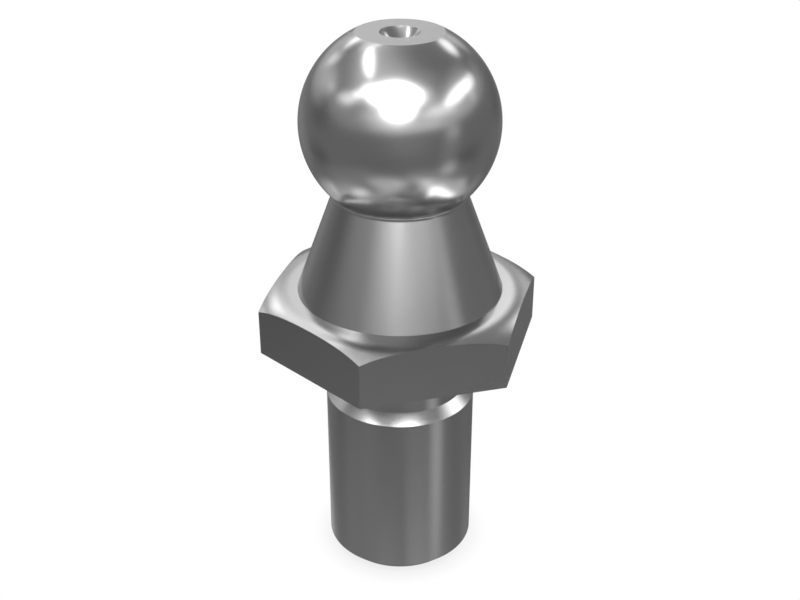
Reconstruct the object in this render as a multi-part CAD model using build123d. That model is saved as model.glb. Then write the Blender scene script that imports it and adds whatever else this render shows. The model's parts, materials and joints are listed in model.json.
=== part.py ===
from build123d import *
from math import cos, radians, sin, sqrt, tan
import os

# A ball stud, turned in one piece from hexagon bar. All lengths are in millimetres.
# It stands upright: the origin is the centre of the shank's end face, and +Z runs up
# the turning axis to the ball. Two of the hexagon's flats face along Y.

# Shank, which goes down into the plate or bracket
shank_diameter = 8.0
shank_length = 13.0  # from the end face up to the hexagon's seat
shank_end_chamfer = 0.5  # at 45 degrees

# Relief groove between the shank and the hexagon
relief_diameter = 7.0
relief_width = 2.75  # the straight part of the groove, measured down from the seat
relief_shoulder_angle = 45.0  # between the stud's axis and the shoulder down to the shank

# Hexagon for the spanner
across_flats = 13.0
hexagon_height = 3.0
crown_radius = 3.0  # turned rounding that runs from the top face down over the corners
crown_land_width = 0.4  # flat ring left between the cone's foot and the crown

# Cone that carries the ball
cone_foot_diameter = 10.7
cone_half_angle = 20.0
ball_root_fillet = 0.25  # hollow where the cone runs into the ball

# Ball
ball_diameter = 10.0
ball_centre_height = 12.0  # above the hexagon's seat
ball_top_cut = 0.5  # how far the top flat lies below the ball's pole

# Centre hole in the top flat, left by the lathe's centre drill
centre_hole_diameter = 2.0
centre_hole_angle = 90.0  # whole angle of its conical wall

# Radii and heights that follow from the sizes above
shank_radius = shank_diameter / 2
relief_radius = relief_diameter / 2
cone_foot_radius = cone_foot_diameter / 2
crown_land_radius = cone_foot_radius + crown_land_width
ball_radius = ball_diameter / 2
centre_hole_radius = centre_hole_diameter / 2
centre_hole_depth = centre_hole_radius / tan(radians(centre_hole_angle / 2))

seat_z = shank_length
groove_bottom_z = seat_z - relief_width
shoulder_height = (shank_radius - relief_radius) / tan(radians(relief_shoulder_angle))
hexagon_top_z = seat_z + hexagon_height
ball_z = seat_z + ball_centre_height
top_z = ball_z + ball_radius - ball_top_cut
top_flat_radius = sqrt(ball_radius**2 - (top_z - ball_z) ** 2)


def ball_root():
    """Where the cone's side, followed up from its foot, first meets the ball (radius, height)."""
    lean = radians(cone_half_angle)
    upwards = Vector(-sin(lean), cos(lean))
    foot = Vector(cone_foot_radius, hexagon_top_z)
    from_ball = foot - Vector(0, ball_z)
    nearest = -from_ball.dot(upwards)
    half_chord = sqrt(nearest**2 - from_ball.dot(from_ball) + ball_radius**2)
    return foot + upwards * (nearest - half_chord)


def turned_body():
    """All that the lathe leaves round: shank, relief, core of the hexagon, cone and ball."""
    root = ball_root()
    hole_tip = (0, top_z - centre_hole_depth)
    side = Polyline(
        hole_tip,
        (0, 0),
        (shank_radius - shank_end_chamfer, 0),
        (shank_radius, shank_end_chamfer),
        (shank_radius, groove_bottom_z - shoulder_height),
        (relief_radius, groove_bottom_z),
        (relief_radius, seat_z),
        (cone_foot_radius, seat_z),
        (cone_foot_radius, hexagon_top_z),
        root,
    )
    ball = ThreePointArc(root, (ball_radius, ball_z), (top_flat_radius, top_z))
    top = Polyline((top_flat_radius, top_z), (centre_hole_radius, top_z), hole_tip)
    half_section = make_face(side + ball + top)
    root_corner = half_section.vertices().sort_by_distance(root)[0]
    half_section = fillet(root_corner, ball_root_fillet)
    return revolve(Plane.XZ * half_section, axis=Axis.Z)


def hexagon():
    """The six flats, rounded over at the top by a crown that is turned about the same axis."""
    bar_section = RegularPolygon(across_flats / 2, side_count=6, major_radius=False)
    bar = extrude(Plane.XY.offset(seat_z) * bar_section, hexagon_height)
    disc = Pos(0, 0, hexagon_top_z) * Cylinder(
        crown_land_radius + crown_radius,
        hexagon_height + crown_radius,
        align=(Align.CENTER, Align.CENTER, Align.MAX),
    )
    top_rim = disc.edges().filter_by(GeomType.CIRCLE).sort_by(Axis.Z)[-1]
    return bar & fillet(top_rim, crown_radius)


stud = turned_body() + hexagon()

os.makedirs("parts", exist_ok=True)
export_step(stud, "parts/ball_stud.step")
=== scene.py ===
"""A steel ball stud, turned from hexagon bar, in a plain pale studio with soft lights."""

import json
from math import atan2, cos, hypot, pi, radians, sin, sqrt, tan

import bmesh
import bpy
from bpy.props import FloatProperty, FloatVectorProperty, IntProperty, PointerProperty
from mathutils import Matrix, Vector


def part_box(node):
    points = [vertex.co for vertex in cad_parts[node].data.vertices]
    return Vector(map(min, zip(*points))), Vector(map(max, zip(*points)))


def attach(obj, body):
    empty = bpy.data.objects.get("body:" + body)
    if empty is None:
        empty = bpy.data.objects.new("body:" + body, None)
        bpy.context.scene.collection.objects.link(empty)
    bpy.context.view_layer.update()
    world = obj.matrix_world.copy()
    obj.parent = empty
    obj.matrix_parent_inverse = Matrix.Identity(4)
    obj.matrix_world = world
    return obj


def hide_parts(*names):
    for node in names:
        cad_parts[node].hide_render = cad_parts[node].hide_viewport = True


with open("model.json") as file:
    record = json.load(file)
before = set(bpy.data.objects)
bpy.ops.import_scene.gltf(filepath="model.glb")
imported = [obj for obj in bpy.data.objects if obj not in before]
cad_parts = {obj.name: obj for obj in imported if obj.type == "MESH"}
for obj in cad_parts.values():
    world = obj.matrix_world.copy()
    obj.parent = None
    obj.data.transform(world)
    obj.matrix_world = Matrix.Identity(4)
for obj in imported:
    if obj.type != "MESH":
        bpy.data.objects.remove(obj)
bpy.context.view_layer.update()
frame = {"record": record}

bl_info = {
    "name": "Ball stud",
    "version": (1, 0, 0),
    "blender": (4, 5, 0),
    "location": "3D View > Sidebar > Ball stud",
    "description": "Turns a steel ball stud and stands it in a plain pale studio",
    "category": "Object",
}

NODE = "ball_stud"
PIECE = "turned_ball_stud"

MM = 0.001  # the frame is in metres, and the stud is turned in millimetres

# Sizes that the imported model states, in metres
MOUNTS = {mount["name"]: mount for mount in frame["record"]["mounts"]}
STUD_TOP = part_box(NODE)[1]
SHANK_RADIUS = MOUNTS["shank"]["dims"]["r_mm"] * MM
SHANK_LENGTH = MOUNTS["shank"]["dims"]["length_mm"] * MM
SHANK_MIDDLE = MOUNTS["shank"]["pos_m"][2]
SEAT = MOUNTS["hexagon_seat"]["pos_m"][2]
HEXAGON_MIDDLE = MOUNTS["spanner_hexagon"]["pos_m"][2]
BALL_CENTRE = MOUNTS["ball"]["pos_m"][2]
BALL_RADIUS = MOUNTS["ball"]["dims"]["r_mm"] * MM

# Camera, fitted to the photograph
CAMERA_AZIMUTH = radians(-15.0)  # from -Y, positive towards +X
CAMERA_PITCH = radians(28.56)  # down from level
CAMERA_DISTANCE = 0.057836  # from the stud's axis, measured level
CAMERA_HEIGHT = 0.046565
CAMERA_REACH = 20.0
FOCAL_PIXELS = 1250
PICTURE_WIDTH = 800
SENSOR_WIDTH = 36.0
LENS = SENSOR_WIDTH * FOCAL_PIXELS / PICTURE_WIDTH

# Turning and cutting, in millimetres
FILLET_MARGIN = 0.02  # short run below the fillet, which keeps the cone's shading straight
WELD = 0.0001  # points closer than this become one
FLOOR_DROP = 0.01  # keeps the floor off the shank's end

# Facets along the arcs of the half section, and round the floor
BALL_STEPS = 96
FILLET_STEPS = 12
CROWN_STEPS = 48
FLOOR_STEPS = 96

FLATS = 6
FIRST_FLAT = 30  # degrees from +X
SHARP_EDGE = radians(20)

# The stud's finishes, in the order of its materials; the shank's darker steel also serves as
# painted shade in the groove
TURNED, POLISHED, DRAWN, SHANK = range(4)
POLISHED_FROM = 0.99  # share of the ball's radius; the top flat and the hole lie nearer its centre
UPRIGHT = 0.01  # the normal of an upright face rises or falls less than this

NOISE_MIDDLE = 0.5
TONE_SPREAD = 0.02  # how far handling lightens or darkens the steel
LINE_STRETCH = 0.03  # how fast drawn lines change along the bar, against across it
SHADE_SAMPLES = 16
WHITE = (1.0, 1.0, 1.0, 1.0)

# Light of the bare tent between two heights on a ball of radius 1: both heights, then both lights
TENT_BELOW = (-1.0, -0.6, 0.19, 0.26)
TENT_ABOVE = (0.3, 0.95, 0.0, 0.16)
TENT_TO_LEFT = 1.3  # how strongly the upper light leans to the left of the picture
LEAST_AHEAD = 0.001  # keeps a panel's far side from a division by nought
MIRRORED_TWICE = 2.5  # the tent counts a ray depth of 2 after one mirroring and 3 after two

# Soft panels of the light tent. Angles are in degrees. The azimuth runs from behind the camera,
# positive to the right of the picture, and widths and heights run from a panel's middle.
PANELS = {
    # name: azimuth, elevation, half width, half height, turn, softness, brightness
    "key window, upper part": (-7.5, 50, 27.6, 13.7, 3.5, 0.25, 6),
    "key window, lower part": (-2, 34, 18, 13, 0, 0.3, 6),
    "key window, lamp": (6, 44, 15, 7, 0, 0.4, 10),
    "key window, left wing": (-42.5, 47, 13.2, 6.8, 1, 0.4, 4),
    "key window, left tail": (-62, 38.5, 6.5, 3.5, 15, 0.5, 2.4),
    "key window, right wing": (35, 45.5, 10.5, 7.5, 0, 0.6, 0.8),
    "haze right of the key window": (52, 52, 13, 11, 0, 0.8, 0.13),
    "haze left of the key window": (-74, 52, 13, 10, 0, 0.8, 0.18),
    "sill": (7, 14, 43, 6.2, 0, 0.6, 0.5),
    "sill, lit middle": (-6, 15, 7, 5, 0, 0.7, 0.16),
    "glow under the key window": (12, 18.5, 28, 6, 0, 0.8, 0.33),
    "glow under the left wing": (-32, 23, 14, 7, 10, 0.8, 0.52),
    "glow left of the sill": (-22, 21, 10, 6, 0, 0.8, 0.34),
    "glow round the key window": (-14, 38, 42, 24, 0, 0.9, 0.2),
    "glow overhead": (-65, 74, 30, 16, 0, 0.9, 0.35),
    "glow overhead, behind": (-166, 66, 14, 8, 0, 0.8, 0.2),
    "haze overhead, in front": (25, 67, 24, 8, 0, 0.9, 0.07),
    "left arch": (-104, 62, 20, 4.5, 6, 0.3, 4),
    "left arch, far end": (-157, 57, 10, 3.5, 12, 0.5, 1.8),
    "back left lamp": (-151, 29.5, 6.5, 4.3, 0, 0.5, 2.1),
    "back left window": (-160, 37.5, 9, 11, 0, 0.5, 1.3),
    "back left haze": (-146, 49, 9, 4, 0, 0.5, 0.85),
    "back left niche": (-157, 22, 6, 5, 0, 0.6, 0.4),
    "back left wall": (-150, 13, 38, 9, 0, 0.7, 0.45),
    "back left wall, near streak": (-134.5, 25.5, 4, 6, -30, 0.4, 0.5),
    "back left wall, spot": (-140, 19, 5, 5, 0, 0.5, 0.5),
    "left wall, far part": (-136.5, 25, 8, 6, 25, 0.6, 0.4),
    "left wall": (-112, 23, 15.5, 7.5, 5, 0.8, 0.6),
    "left lamp": (-73, 30, 12.5, 5, 24, 0.6, 1.35),
    "left lamp, near end": (-69, 27, 6, 4, 0, 0.5, 0.35),
    "left wall, crease": (-103, 24, 8, 2.5, 20, 0.4, 0.3),
    "left sill": (-62, 12, 20, 8, 0, 0.8, 0.17),
    "left sill, lit edge": (-80, 19, 12, 5, 20, 0.8, 0.18),
    "back wall": (180, 18, 12, 12, 0, 0.5, 0.34),
    "back wall, lit top": (180, 27, 11, 4, 0, 0.4, 0.8),
    "back right streak": (171, 35, 4, 8, 20, 0.5, 1.7),
    "back left streak": (-173, 37, 3, 9, -20, 0.5, 1.2),
    "back right window": (144, 34.5, 9, 6, -15, 0.5, 2.3),
    "back right wall": (158, 19, 8, 9, 8, 0.6, 0.64),
    "right window": (82.5, 29.3, 20.5, 5.4, -2, 0.35, 3.2),
    "right window, far part": (107.5, 24.8, 11.5, 4.8, -11, 0.4, 2),
    "glow over the right window": (85, 36, 26, 8, 0, 0.9, 0.33),
    "right wall": (46, 25.5, 18, 6, 0, 0.6, 1.2),
    "right wall, fold": (45, 26, 7, 2.5, -20, 0.4, 0.4),
    "haze over the right wall": (42, 35.5, 12, 5, 0, 0.8, 0.28),
    "right wall, spot": (100, 17, 5, 3, 0, 0.4, 0.4),
    "back right glow": (118, 16, 18, 6.5, 0, 0.8, 0.24),
    "right sill": (70, 17, 31, 7, 0, 0.7, 0.5),
    "right sill, lit edge": (66, 20, 9, 3, 0, 0.6, 0.2),
    "right lamp": (60, 2, 8, 7, 0, 0.8, 0.35),
    "right table edge": (57, -12, 10, 16, 0, 0.8, 0.1),
    "low right lamp": (60, -34, 8, 6, 0, 0.8, 0.45),
    "low right reflector": (88.5, -63.2, 19.5, 7, -4, 0.35, 3),
    "low right table": (52, -52.5, 25, 6.5, -6, 0.7, 0.66),
    "low right table, near end": (38, -50, 7, 3.5, -20, 0.6, 0.5),
    "low right table, far end": (112, -53, 13, 5, 4, 0.7, 0.6),
    "low right table, rim": (101, -47, 8, 3, 0, 0.5, 0.3),
    "low left reflector": (-76, -60, 9, 4, 0, 0.7, 0.9),
    "low left table": (-104, -60, 22, 12, 0, 0.8, 0.45),
    "low left table, near end": (-42, -67, 14, 6, 0, 0.8, 0.42),
    "low left haze": (-42, -46, 12, 6, 0, 0.8, 0.12),
    "low left strip": (-143, -43.5, 18, 5, -18, 0.7, 0.45),
    "low left strip, spot": (-127, -48, 6, 3, 20, 0.4, 0.25),
    "low left strip, near end": (-115, -56, 7, 3, 0, 0.6, 0.25),
    "low left glow": (-140, -20, 12, 12, 0, 0.8, 0.08),
    "low front table": (-16, -53, 16, 9, 0, 0.7, 0.68),
    "low front table, rim": (-1, -50.5, 7, 2, 0, 0.4, 0.3),
    "front floor": (8, -7, 22, 12, 0, 0.8, 0.07),
    "low haze on the left": (-75, -40, 32, 5, 0, 0.8, 0.08),
    "low haze on the right": (50, -41, 26, 6, 0, 0.8, 0.13),
    "low haze behind": (142, -44, 12, 6, 0, 0.8, 0.15),
    "low right table, foot": (24, -63, 10, 5, 0, 0.8, 0.24),
    "low right table, corner": (42, -57.5, 7, 3.8, 0, 0.7, 0.35),
    "shade behind": (180, -38, 35, 15, 0, 0.9, -0.1),
    "shade overhead, behind": (130, 68, 24, 11, 0, 0.9, -0.05),
    "shade on the left": (-102, 1, 14, 8, 0, 0.8, -0.07),
    "shade low on the left": (-107, -29, 13, 8, 0, 0.8, -0.09),
    "shade low in front": (-28, -28, 18, 8, 0, 0.8, -0.02),
    "shade behind on the right": (146, -7, 18, 8, 0, 0.8, -0.08),
    "shade low on the right": (80, -25, 17, 8, 0, 0.8, -0.07),
}


def length(name, description, default):
    """A length in metres that the sidebar shows in scene units."""
    return FloatProperty(
        name=name, description=description, default=default, min=0.0, precision=5, unit="LENGTH"
    )


def share(name, description, default, highest=1.0):
    """A plain number from nought up."""
    return FloatProperty(
        name=name, description=description, default=default, min=0.0, max=highest, precision=4
    )


def angle(name, description, default):
    """An angle, given in degrees and kept in radians."""
    return FloatProperty(
        name=name, description=description, default=radians(default), subtype="ANGLE"
    )


def grey(name, description, default):
    """A neutral colour."""
    return FloatVectorProperty(
        name=name,
        description=description,
        default=(default, default, default),
        min=0.0,
        max=1.0,
        subtype="COLOR",
    )


class StudSizes(bpy.types.PropertyGroup):
    """The sizes that the stud is turned to"""

    total_height: length("Height", "From the shank's end to the ball's top flat", STUD_TOP.z)
    shank_diameter: length("Shank diameter", "Across the plain shank", 2 * SHANK_RADIUS)
    shank_chamfer: length(
        "Shank chamfer", "45 degree chamfer at the shank's end", SHANK_MIDDLE - SHANK_LENGTH / 2
    )
    shoulder_foot: length(
        "Shoulder foot", "Height of the shank's upper end", SHANK_MIDDLE + SHANK_LENGTH / 2
    )
    shoulder_angle: angle("Shoulder angle", "Between the groove's shoulder and the axis", 44)
    relief_diameter: length("Relief diameter", "Across the groove under the hexagon", 0.007)
    seat_height: length("Seat height", "Underside of the hexagon", SEAT)
    hexagon_top: length("Hexagon top", "Upper face of the hexagon", 2 * HEXAGON_MIDDLE - SEAT)
    across_flats: length("Across flats", "Between two opposite flats", 2 * STUD_TOP.y)
    crown_radius: length("Crown radius", "Turned rounding over the hexagon's corners", 0.003)
    crown_land: length("Crown land", "Flat ring between the cone and the crown", 0.0004)
    cone_foot_diameter: length("Cone foot diameter", "Across the cone on the hexagon", 0.0107)
    cone_half_angle: angle("Cone half angle", "Between the cone's side and the axis", 20)
    root_fillet: length("Root fillet", "Hollow where the cone meets the ball", 0.00025)
    ball_diameter: length("Ball diameter", "Across the ball", 2 * BALL_RADIUS)
    ball_centre: length("Ball centre", "Height of the ball's centre", BALL_CENTRE)
    hole_diameter: length("Centre hole", "Across the centre hole's rim", 0.002)
    hole_angle: angle("Centre hole angle", "Whole angle of the centre hole", 84)
    turning_steps: IntProperty(
        name="Turning steps",
        description="Facets round the stud, a multiple of 12 so that they meet the corners",
        default=240,
        min=24,
        step=12,
    )


class SteelFinish(bpy.types.PropertyGroup):
    """The look of the bare steel"""

    turned_colour: grey("Turned colour", "Reflection of the crown, top and shoulder", 0.435)
    polished_colour: grey("Polished colour", "Reflection of the ball and cone", 0.42)
    flat_colour: grey("Flat colour", "Reflection of the hexagon's drawn flats", 0.345)
    # the shank's darker colour is also painted shade on the groove under the hexagon
    shank_colour_and_groove_shade: grey("Shank colour", "Reflection of the shank and the groove", 0.385)
    turned_roughness: share("Turned roughness", "Roughness of the crown, top and shoulder", 0.22)
    polished_roughness: share("Polished roughness", "Roughness of the ball and cone", 0.19)
    flat_roughness: share("Flat roughness", "Roughness of the hexagon's drawn flats", 0.22)
    shank_roughness: share("Shank roughness", "Roughness of the shank and the groove", 0.2)
    tool_pitch: length("Tool pitch", "Distance between the lathe tool's marks", 0.00009)
    tool_depth: length("Tool depth", "Depth of the lathe tool's marks", 0.0000002)


class Studio(bpy.types.PropertyGroup):
    """The floor and the light tent"""

    floor_colour: grey("Floor colour", "Plain pale floor", 1.0)
    floor_radius: length("Floor radius", "How far the floor reaches", 3.0)
    shade_reach: length("Shade reach", "How far the stud shades the floor round it", 0.0012)
    shade_depth: share("Shade depth", "Share of the floor's light lost against the stud", 0.2)
    backdrop: share("Backdrop", "Brightness of the plain backdrop", 1.0, highest=4.0)
    panel_strength: share("Panel strength", "Brightness of all panels", 1.0, highest=4.0)
    key_again: share("Key window again", "Share of the key window left in a second mirroring", 0.1)


def run_to(section, start, radius, height):
    """Draws a straight run of the half section and gives its far end."""
    end = section.verts.new((radius, 0.0, height))
    section.edges.new((start, end))
    return end


def swing(section, start, centre, turn, steps):
    """Draws an arc of the half section about a centre; a positive turn runs clockwise."""
    arc = bmesh.ops.spin(
        section, geom=[start], cent=centre, axis=(0.0, 1.0, 0.0), angle=turn, steps=steps
    )
    return arc["geom_last"][0]


def direction(centre, point):
    """Angle above level of the line from a centre to a point of the half section."""
    return atan2(point.z - centre.z, point.x - centre.x)


def half_section(sizes):
    """Half section in millimetres, from the hole's tip over the ball to the shank's end."""
    top = sizes.total_height / MM
    shank = sizes.shank_diameter / MM / 2
    chamfer = sizes.shank_chamfer / MM
    shoulder_foot = sizes.shoulder_foot / MM
    relief = sizes.relief_diameter / MM / 2
    seat = sizes.seat_height / MM
    hexagon_top = sizes.hexagon_top / MM
    crown = sizes.crown_radius / MM
    cone_foot = sizes.cone_foot_diameter / MM / 2
    fillet = sizes.root_fillet / MM
    ball = sizes.ball_diameter / MM / 2
    hole = sizes.hole_diameter / MM / 2

    ball_centre = Vector((0.0, 0.0, sizes.ball_centre / MM))
    up_cone = Vector((-sin(sizes.cone_half_angle), 0.0, cos(sizes.cone_half_angle)))
    off_cone = Vector((cos(sizes.cone_half_angle), 0.0, sin(sizes.cone_half_angle)))
    foot = Vector((cone_foot, 0.0, hexagon_top))

    # The fillet's centre lies its radius off the cone and off the ball.
    from_ball = foot + off_cone * fillet - ball_centre
    along = -from_ball.dot(up_cone)
    climb = along - sqrt(along**2 - from_ball.length_squared + (ball + fillet) ** 2)
    fillet_centre = foot + off_cone * fillet + up_cone * climb
    fillet_foot = foot + up_cone * climb
    ball_root = ball_centre + (fillet_centre - ball_centre) * ball / (ball + fillet)

    flat = sqrt(ball**2 - (top - ball_centre.z) ** 2)
    flat_rim = Vector((flat, 0.0, top))
    ball_turn = direction(ball_centre, flat_rim) - direction(ball_centre, ball_root)
    fillet_turn = (
        direction(fillet_centre, ball_root) - direction(fillet_centre, fillet_foot)
    ) % -(2 * pi)

    section = bmesh.new()
    end = section.verts.new((0.0, 0.0, top - hole / tan(sizes.hole_angle / 2)))
    end = run_to(section, end, hole, top)
    end = run_to(section, end, flat, top)
    end = swing(section, end, ball_centre, ball_turn, BALL_STEPS)
    end = swing(section, end, fillet_centre, fillet_turn, FILLET_STEPS)
    below_fillet = fillet_foot - up_cone * FILLET_MARGIN
    end = run_to(section, end, below_fillet.x, below_fillet.z)
    end = run_to(section, end, cone_foot, hexagon_top)
    land = cone_foot + sizes.crown_land / MM
    end = run_to(section, end, land, hexagon_top)
    end = swing(section, end, (land, 0.0, hexagon_top - crown), pi / 2, CROWN_STEPS)
    end = run_to(section, end, relief, seat)
    shoulder_rise = (shank - relief) / tan(sizes.shoulder_angle)
    end = run_to(section, end, relief, shoulder_foot + shoulder_rise)
    end = run_to(section, end, shank, shoulder_foot)
    end = run_to(section, end, shank, chamfer)
    end = run_to(section, end, shank - chamfer, 0.0)
    run_to(section, end, 0.0, 0.0)
    return section


def turn_round(section, steps):
    """Spins the half section into a closed blank and merges it along the axis."""
    bmesh.ops.spin(
        section,
        geom=section.verts[:] + section.edges[:],
        cent=(0.0, 0.0, 0.0),
        axis=(0.0, 0.0, 1.0),
        angle=2 * pi,
        steps=steps,
        use_merge=True,
    )
    bmesh.ops.remove_doubles(section, verts=section.verts, dist=WELD)
    bmesh.ops.recalc_face_normals(section, faces=section.faces)


def cut_flats(blank, across_flats):
    """Cuts the flats of the hexagon through the blank's crown."""
    for side in range(FLATS):
        turn = radians(FIRST_FLAT + side * 360 / FLATS)
        facing = Matrix.Rotation(turn, 3, "Z") @ Vector((1.0, 0.0, 0.0))
        cut = bmesh.ops.bisect_plane(
            blank,
            geom=blank.verts[:] + blank.edges[:] + blank.faces[:],
            dist=WELD,
            plane_co=facing * across_flats / 2,
            plane_no=facing,
            clear_outer=True,
        )
        rim = [e for e in cut["geom_cut"] if isinstance(e, bmesh.types.BMEdge)]
        bmesh.ops.contextual_create(blank, geom=rim)


def give_finishes(stud, sizes):
    """Finishes the faces: polished ball and cone, drawn flats, shank, or turned; the groove gets
    the darker shank steel as painted shade under the hexagon.
    """
    centre = Vector((0.0, 0.0, sizes.ball_centre / MM))
    polished = POLISHED_FROM * sizes.ball_diameter / MM / 2
    cone_foot = sizes.cone_foot_diameter / MM / 2
    for face in stud.faces:
        middle = face.calc_center_median()
        upright = abs(face.normal.z) < UPRIGHT
        # painted shade: the groove under the hexagon is given the darker shank steel, so it looks
        # shaded by the hexagon
        groove_given_painted_shade = upright and middle.z < sizes.seat_height / MM
        if middle.z > sizes.hexagon_top / MM and (middle - centre).length > polished:
            face.material_index = POLISHED
        elif upright and hypot(middle.x, middle.y) > cone_foot:
            face.material_index = DRAWN
        elif groove_given_painted_shade or middle.z < sizes.shoulder_foot / MM:
            face.material_index = SHANK
        else:
            face.material_index = TURNED


def new_group(name, inputs, outputs):
    """A shader node group with named sockets, each given as a kind of socket and a default."""
    group = bpy.data.node_groups.new(name, "ShaderNodeTree")
    for way, sockets in (("INPUT", inputs), ("OUTPUT", outputs)):
        for socket, (kind, default) in sockets.items():
            item = group.interface.new_socket(socket, in_out=way, socket_type=kind)
            item.default_value = default
    return group


NUMBER = "NodeSocketFloat"
VECTOR = "NodeSocketVector"


class Wiring:
    """Adds nodes to a tree and joins them, so that a chain of nodes reads like a sum."""

    def __init__(self, tree):
        self.tree = tree

    def node(self, kind, values=None, **settings):
        """A node with its settings, and its inputs set or joined by name or number."""
        node = self.tree.nodes.new(kind)
        for name, value in settings.items():
            setattr(node, name, value)
        for socket, value in (values or {}).items():
            self.feed(node.inputs[socket], value)
        return node

    def feed(self, socket, value):
        """Joins a socket to another one, or sets it."""
        if isinstance(value, bpy.types.NodeSocket):
            self.tree.links.new(value, socket)
        else:
            socket.default_value = value

    def maths(self, operation, *values):
        """A Math node's result."""
        values = dict(enumerate(values))
        return self.node("ShaderNodeMath", values, operation=operation).outputs[0]

    def vectors(self, operation, *values, result=0):
        """A Vector Math node's result; result 1 is the number that some operations give."""
        values = dict(enumerate(values))
        return self.node("ShaderNodeVectorMath", values, operation=operation).outputs[result]

    def scaled(self, vector, factor):
        """A vector times a number."""
        values = {0: vector, "Scale": factor}
        return self.node("ShaderNodeVectorMath", values, operation="SCALE").outputs[0]

    def grain(self, place, pitch):
        """Fine noise whose grains are one pitch apart."""
        fine = self.scaled(place, self.maths("DIVIDE", 1.0, pitch))
        values = {"Vector": fine, "Scale": 1.0, "Detail": 2.0}
        return self.node("ShaderNodeTexNoise", values).outputs[0]

    def map_range(self, value, low, high, new_low, new_high, smooth=False):
        """A value moved from one range to another."""
        kind = "SMOOTHSTEP" if smooth else "LINEAR"
        values = {0: value, 1: low, 2: high, 3: new_low, 4: new_high}
        return self.node("ShaderNodeMapRange", values, interpolation_type=kind).outputs[0]

    def placed(self, group, values):
        """A node group, placed with its own values."""
        node = self.tree.nodes.new("ShaderNodeGroup")
        node.node_tree = group
        for socket, value in values.items():
            self.feed(node.inputs[socket], value)
        return node


def lathe_marks_group():
    """Rings left by the lathe tool, all about the stud's axis."""
    group = new_group(
        "lathe marks",
        {"Position": (VECTOR, (0, 0, 0)), "Pitch": (NUMBER, 0.0001)},
        {"Height": (NUMBER, 0.0)},
    )
    wiring = Wiring(group)
    given = wiring.node("NodeGroupInput").outputs
    place = wiring.node("ShaderNodeSeparateXYZ", {0: given["Position"]}).outputs
    flat = wiring.node("ShaderNodeCombineXYZ", {0: place[0], 1: place[1]}).outputs[0]
    radius = wiring.vectors("LENGTH", flat, result=1)
    along = wiring.node("ShaderNodeCombineXYZ", {0: radius, 2: place[2]}).outputs[0]
    wiring.node("NodeGroupOutput", {"Height": wiring.grain(along, given["Pitch"])})
    return group


def drawn_lines_group():
    """Faint lines that drawing leaves along the bar."""
    group = new_group(
        "drawn lines",
        {"Position": (VECTOR, (0, 0, 0)), "Pitch": (NUMBER, 0.0001)},
        {"Height": (NUMBER, 0.0)},
    )
    wiring = Wiring(group)
    given = wiring.node("NodeGroupInput").outputs
    stretched = wiring.vectors("MULTIPLY", given["Position"], (1.0, 1.0, LINE_STRETCH))
    wiring.node("NodeGroupOutput", {"Height": wiring.grain(stretched, given["Pitch"])})
    return group


def handling_group():
    """Slight changes in polish from handling, which vary the roughness and the colour."""
    group = new_group(
        "handling",
        {
            "Position": (VECTOR, (0, 0, 0)),
            "Size": (NUMBER, 0.002),
            "Roughness": (NUMBER, 0.25),
            "Spread": (NUMBER, 0.02),
        },
        {"Roughness": (NUMBER, 0.25), "Mask": (NUMBER, 0.5)},
    )
    wiring = Wiring(group)
    given = wiring.node("NodeGroupInput").outputs
    per_size = wiring.maths("DIVIDE", 1.0, given["Size"])
    patches = wiring.node(
        "ShaderNodeTexNoise", {"Vector": given["Position"], "Scale": per_size, "Detail": 3.0}
    ).outputs[0]
    from_middle = wiring.maths("SUBTRACT", patches, NOISE_MIDDLE)
    change = wiring.maths("MULTIPLY", from_middle, given["Spread"])
    roughness = wiring.maths("ADD", given["Roughness"], change)
    wiring.node("NodeGroupOutput", {"Roughness": roughness, "Mask": patches})
    return group


def make_steel(name, finish, bare, roughness, marks, handling):
    """Bare steel of one colour: marks is the group that gives its fine relief."""
    material = bpy.data.materials.new(name)
    material.use_nodes = True
    tree = material.node_tree
    tree.nodes.clear()
    wiring = Wiring(tree)
    place = wiring.node("ShaderNodeTexCoord").outputs["Object"]
    worn = wiring.placed(handling, {"Position": place, "Roughness": roughness})
    relief = wiring.placed(marks, {"Position": place, "Pitch": finish.tool_pitch})
    bump = wiring.node(
        "ShaderNodeBump",
        {"Strength": 1.0, "Distance": finish.tool_depth, "Height": relief.outputs["Height"]},
    )
    tone = wiring.map_range(worn.outputs["Mask"], 0.0, 1.0, 1.0 - TONE_SPREAD, 1.0 + TONE_SPREAD)
    shader = wiring.node(
        "ShaderNodeBsdfPrincipled",
        {
            "Base Color": wiring.scaled(tuple(bare), tone),
            "Metallic": 1.0,
            "Roughness": worn.outputs["Roughness"],
            "Normal": bump.outputs[0],
        },
    )
    wiring.node("ShaderNodeOutputMaterial", {"Surface": shader.outputs[0]})
    return material


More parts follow.
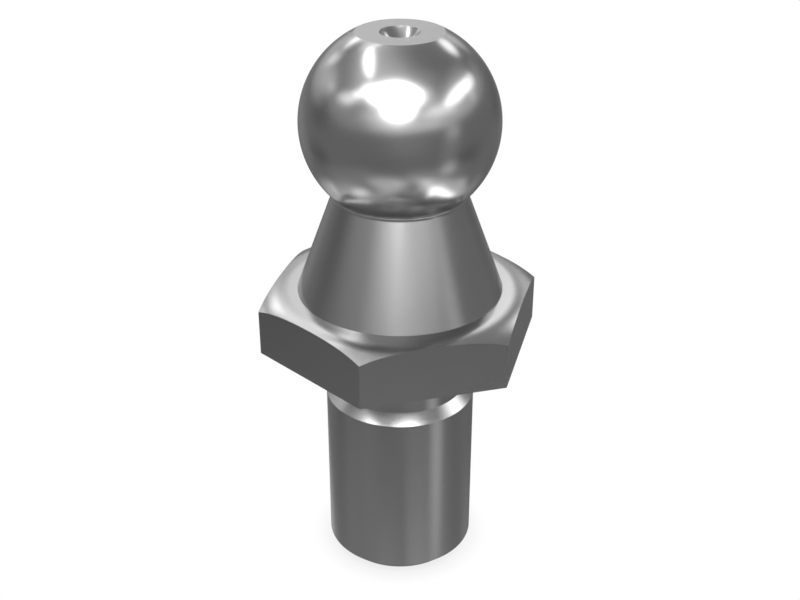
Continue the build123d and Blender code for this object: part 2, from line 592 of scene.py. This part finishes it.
class BALLSTUD_OT_turn_stud(bpy.types.Operator):
    """Turn the stud, cut its hexagon and give it its steel"""

    bl_idname = "ball_stud.turn_stud"
    bl_label = "Turn the stud"

    def execute(self, context):
        sizes = context.scene.stud_sizes
        finish = context.scene.steel_finish
        stud = half_section(sizes)
        turn_round(stud, sizes.turning_steps)
        cut_flats(stud, sizes.across_flats / MM)
        give_finishes(stud, sizes)
        bmesh.ops.scale(stud, vec=(MM, MM, MM), verts=stud.verts)
        bmesh.ops.recalc_face_normals(stud, faces=stud.faces)
        mesh = bpy.data.meshes.new(PIECE)
        stud.to_mesh(mesh)
        stud.free()
        mesh.shade_smooth()
        mesh.set_sharp_from_angle(angle=SHARP_EDGE)
        rings = lathe_marks_group()
        lines = drawn_lines_group()
        handling = handling_group()
        for name, bare, roughness, marks in (
            ("turned steel", finish.turned_colour, finish.turned_roughness, rings),
            ("polished steel", finish.polished_colour, finish.polished_roughness, rings),
            ("drawn hexagon steel", finish.flat_colour, finish.flat_roughness, lines),
            # the shank steel also darkens the groove, as painted shade under the hexagon
            ("shank steel and painted groove shade", finish.shank_colour_and_groove_shade, finish.shank_roughness, rings),
        ):
            mesh.materials.append(make_steel(name, finish, bare, roughness, marks, handling))
        piece = bpy.data.objects.new(PIECE, mesh)
        context.scene.collection.objects.link(piece)
        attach(piece, "root")
        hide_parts(NODE)
        return {"FINISHED"}


def make_floor(studio):
    """The plain pale floor, which shines evenly and is a little darker close to the stud."""
    round_floor = bmesh.new()
    bmesh.ops.create_circle(
        round_floor, cap_ends=True, radius=studio.floor_radius, segments=FLOOR_STEPS
    )
    bmesh.ops.translate(round_floor, vec=(0.0, 0.0, -FLOOR_DROP * MM), verts=round_floor.verts)
    mesh = bpy.data.meshes.new("floor")
    round_floor.to_mesh(mesh)
    round_floor.free()
    material = bpy.data.materials.new("pale floor")
    material.use_nodes = True
    tree = material.node_tree
    tree.nodes.clear()
    wiring = Wiring(tree)
    open_to_light = wiring.node(
        "ShaderNodeAmbientOcclusion", {"Distance": studio.shade_reach}, samples=SHADE_SAMPLES
    ).outputs["AO"]
    bright = wiring.map_range(open_to_light, 0.0, 1.0, 1.0 - studio.shade_depth, 1.0)
    paint = wiring.node(
        "ShaderNodeEmission",
        {"Color": tuple(studio.floor_colour) + (1.0,), "Strength": bright},
    ).outputs[0]
    clear = wiring.node("ShaderNodeBsdfTransparent").outputs[0]
    below = wiring.node("ShaderNodeNewGeometry").outputs["Backfacing"]
    surface = wiring.node("ShaderNodeMixShader", {0: below, 1: paint, 2: clear}).outputs[0]
    wiring.node("ShaderNodeOutputMaterial", {"Surface": surface})
    material.cycles.emission_sampling = "NONE"
    mesh.materials.append(material)
    floor = bpy.data.objects.new("floor", mesh)
    bpy.context.scene.collection.objects.link(floor)
    floor.visible_glossy = False  # the steel sees the tent's lower half through it


def soft_panel_group():
    """An oval panel of light with a soft edge, which lies in one direction from the stud."""
    group = new_group(
        "soft panel",
        {
            "Direction": (VECTOR, (0, 0, 0)),
            "Facing": (VECTOR, (0, 0, 1)),
            "Across": (VECTOR, (1, 0, 0)),
            "Upward": (VECTOR, (0, 1, 0)),
            "Softness": (NUMBER, 0.5),
            "Brightness": (NUMBER, 1.0),
        },
        {"Light": (NUMBER, 0.0)},
    )
    wiring = Wiring(group)
    given = wiring.node("NodeGroupInput").outputs
    across = wiring.vectors("DOT_PRODUCT", given["Direction"], given["Across"], result=1)
    upward = wiring.vectors("DOT_PRODUCT", given["Direction"], given["Upward"], result=1)
    facing = wiring.vectors("DOT_PRODUCT", given["Direction"], given["Facing"], result=1)
    ahead = wiring.maths("MAXIMUM", facing, LEAST_AHEAD)
    spot = wiring.node("ShaderNodeCombineXYZ", {0: across, 1: upward}).outputs[0]
    reach = wiring.maths("DIVIDE", wiring.vectors("LENGTH", spot, result=1), ahead)
    inner = wiring.maths("SUBTRACT", 1.0, given["Softness"])
    outer = wiring.maths("ADD", 1.0, given["Softness"])
    light = wiring.map_range(reach, inner, outer, 1.0, 0.0, smooth=True)
    light = wiring.maths("MULTIPLY", light, given["Brightness"])
    wiring.node("NodeGroupOutput", {"Light": light})
    return group


def towards(azimuth, elevation):
    """Unit vector out from the stud. The azimuth runs from -Y, positive towards +X."""
    return Vector((sin(azimuth) * cos(elevation), -cos(azimuth) * cos(elevation), sin(elevation)))


def panel_values(azimuth, elevation, width, height, turn, softness, brightness):
    """A panel's angles as the vectors that its node group takes."""
    facing = towards(radians(azimuth) + CAMERA_AZIMUTH, radians(elevation))
    across = Vector((0.0, 0.0, 1.0)).cross(facing).normalized()
    turned = Matrix.Rotation(radians(turn), 3, facing)
    return {
        "Facing": facing,
        "Across": turned @ across / tan(radians(width)),
        "Upward": turned @ facing.cross(across) / tan(radians(height)),
        "Softness": softness,
        "Brightness": brightness,
    }


def make_tent(studio):
    """The light tent: a gradient with panels, behind a backdrop that only the camera sees."""
    world = bpy.data.worlds.new("light tent")
    world.use_nodes = True
    tree = world.node_tree
    tree.nodes.clear()
    wiring = Wiring(tree)
    ahead = wiring.node("ShaderNodeTexCoord").outputs["Generated"]
    place = wiring.node("ShaderNodeSeparateXYZ", {0: ahead}).outputs
    below = wiring.map_range(place[2], *TENT_BELOW, smooth=True)
    above = wiring.map_range(place[2], *TENT_ABOVE, smooth=True)
    right = towards(radians(90) + CAMERA_AZIMUTH, 0.0)
    to_right = wiring.vectors("DOT_PRODUCT", ahead, right, result=1)
    to_left = wiring.maths("SUBTRACT", 1.0, wiring.maths("MULTIPLY", to_right, TENT_TO_LEFT))
    light = wiring.maths("ADD", below, wiring.maths("MULTIPLY", above, to_left))
    panel = soft_panel_group()
    rays = wiring.node("ShaderNodeLightPath").outputs
    again = wiring.maths("GREATER_THAN", rays["Ray Depth"], MIRRORED_TWICE)
    key_share = wiring.map_range(again, 0.0, 1.0, 1.0, studio.key_again)
    for name, row in PANELS.items():
        node = wiring.placed(panel, {"Direction": ahead, **panel_values(*row)})
        node.label = name
        lit = wiring.maths("MULTIPLY", node.outputs["Light"], studio.panel_strength)
        if name.startswith("key window"):
            lit = wiring.maths("MULTIPLY", lit, key_share)
        light = wiring.maths("ADD", light, lit)
    seen = rays["Is Camera Ray"]
    tent = wiring.node("ShaderNodeBackground", {0: light, 1: 1.0}).outputs[0]
    plain = wiring.node("ShaderNodeBackground", {0: WHITE, 1: studio.backdrop}).outputs[0]
    shown = wiring.node("ShaderNodeMixShader", {0: seen, 1: tent, 2: plain}).outputs[0]
    wiring.node("ShaderNodeOutputWorld", {"Surface": shown})
    world.cycles.sampling_method = "NONE"
    bpy.context.scene.world = world


def place_camera():
    """The camera, at the photograph's angle and distance."""
    camera = bpy.data.objects.new("camera", bpy.data.cameras.new("camera"))
    bpy.context.scene.collection.objects.link(camera)
    back = towards(CAMERA_AZIMUTH, 0.0)
    camera.location = back * CAMERA_DISTANCE + Vector((0.0, 0.0, CAMERA_HEIGHT))
    looking = -towards(CAMERA_AZIMUTH, CAMERA_PITCH)
    camera.rotation_euler = looking.to_track_quat("-Z", "Y").to_euler()
    camera.data.sensor_width = SENSOR_WIDTH
    camera.data.lens = LENS
    camera.data.clip_start = MM
    camera.data.clip_end = CAMERA_REACH
    bpy.context.scene.camera = camera


class BALLSTUD_OT_set_stage(bpy.types.Operator):
    """Lay the floor, hang the light tent and place the camera"""

    bl_idname = "ball_stud.set_stage"
    bl_label = "Set the stage"

    def execute(self, context):
        studio = context.scene.studio
        make_floor(studio)
        make_tent(studio)
        place_camera()
        context.scene.view_settings.view_transform = "Standard"
        return {"FINISHED"}


class BALLSTUD_PT_sidebar(bpy.types.Panel):
    """Sizes, steel and studio of the ball stud"""

    bl_idname = "BALLSTUD_PT_sidebar"
    bl_label = "Ball stud"
    bl_space_type = "VIEW_3D"
    bl_region_type = "UI"
    bl_category = "Ball stud"

    def draw(self, context):
        for values, operator in (
            (context.scene.stud_sizes, None),
            (context.scene.steel_finish, BALLSTUD_OT_turn_stud.bl_idname),
            (context.scene.studio, BALLSTUD_OT_set_stage.bl_idname),
        ):
            for name in values.__annotations__:
                self.layout.prop(values, name)
            if operator:
                self.layout.operator(operator)


CLASSES = (
    StudSizes,
    SteelFinish,
    Studio,
    BALLSTUD_OT_turn_stud,
    BALLSTUD_OT_set_stage,
    BALLSTUD_PT_sidebar,
)


def register():
    for new_class in CLASSES:
        bpy.utils.register_class(new_class)
    bpy.types.Scene.stud_sizes = PointerProperty(type=StudSizes)
    bpy.types.Scene.steel_finish = PointerProperty(type=SteelFinish)
    bpy.types.Scene.studio = PointerProperty(type=Studio)


def unregister():
    del bpy.types.Scene.stud_sizes
    del bpy.types.Scene.steel_finish
    del bpy.types.Scene.studio
    for old_class in reversed(CLASSES):
        bpy.utils.unregister_class(old_class)


def main():
    register()
    bpy.ops.ball_stud.turn_stud()
    bpy.ops.ball_stud.set_stage()


if __name__ == "__main__":
    main()
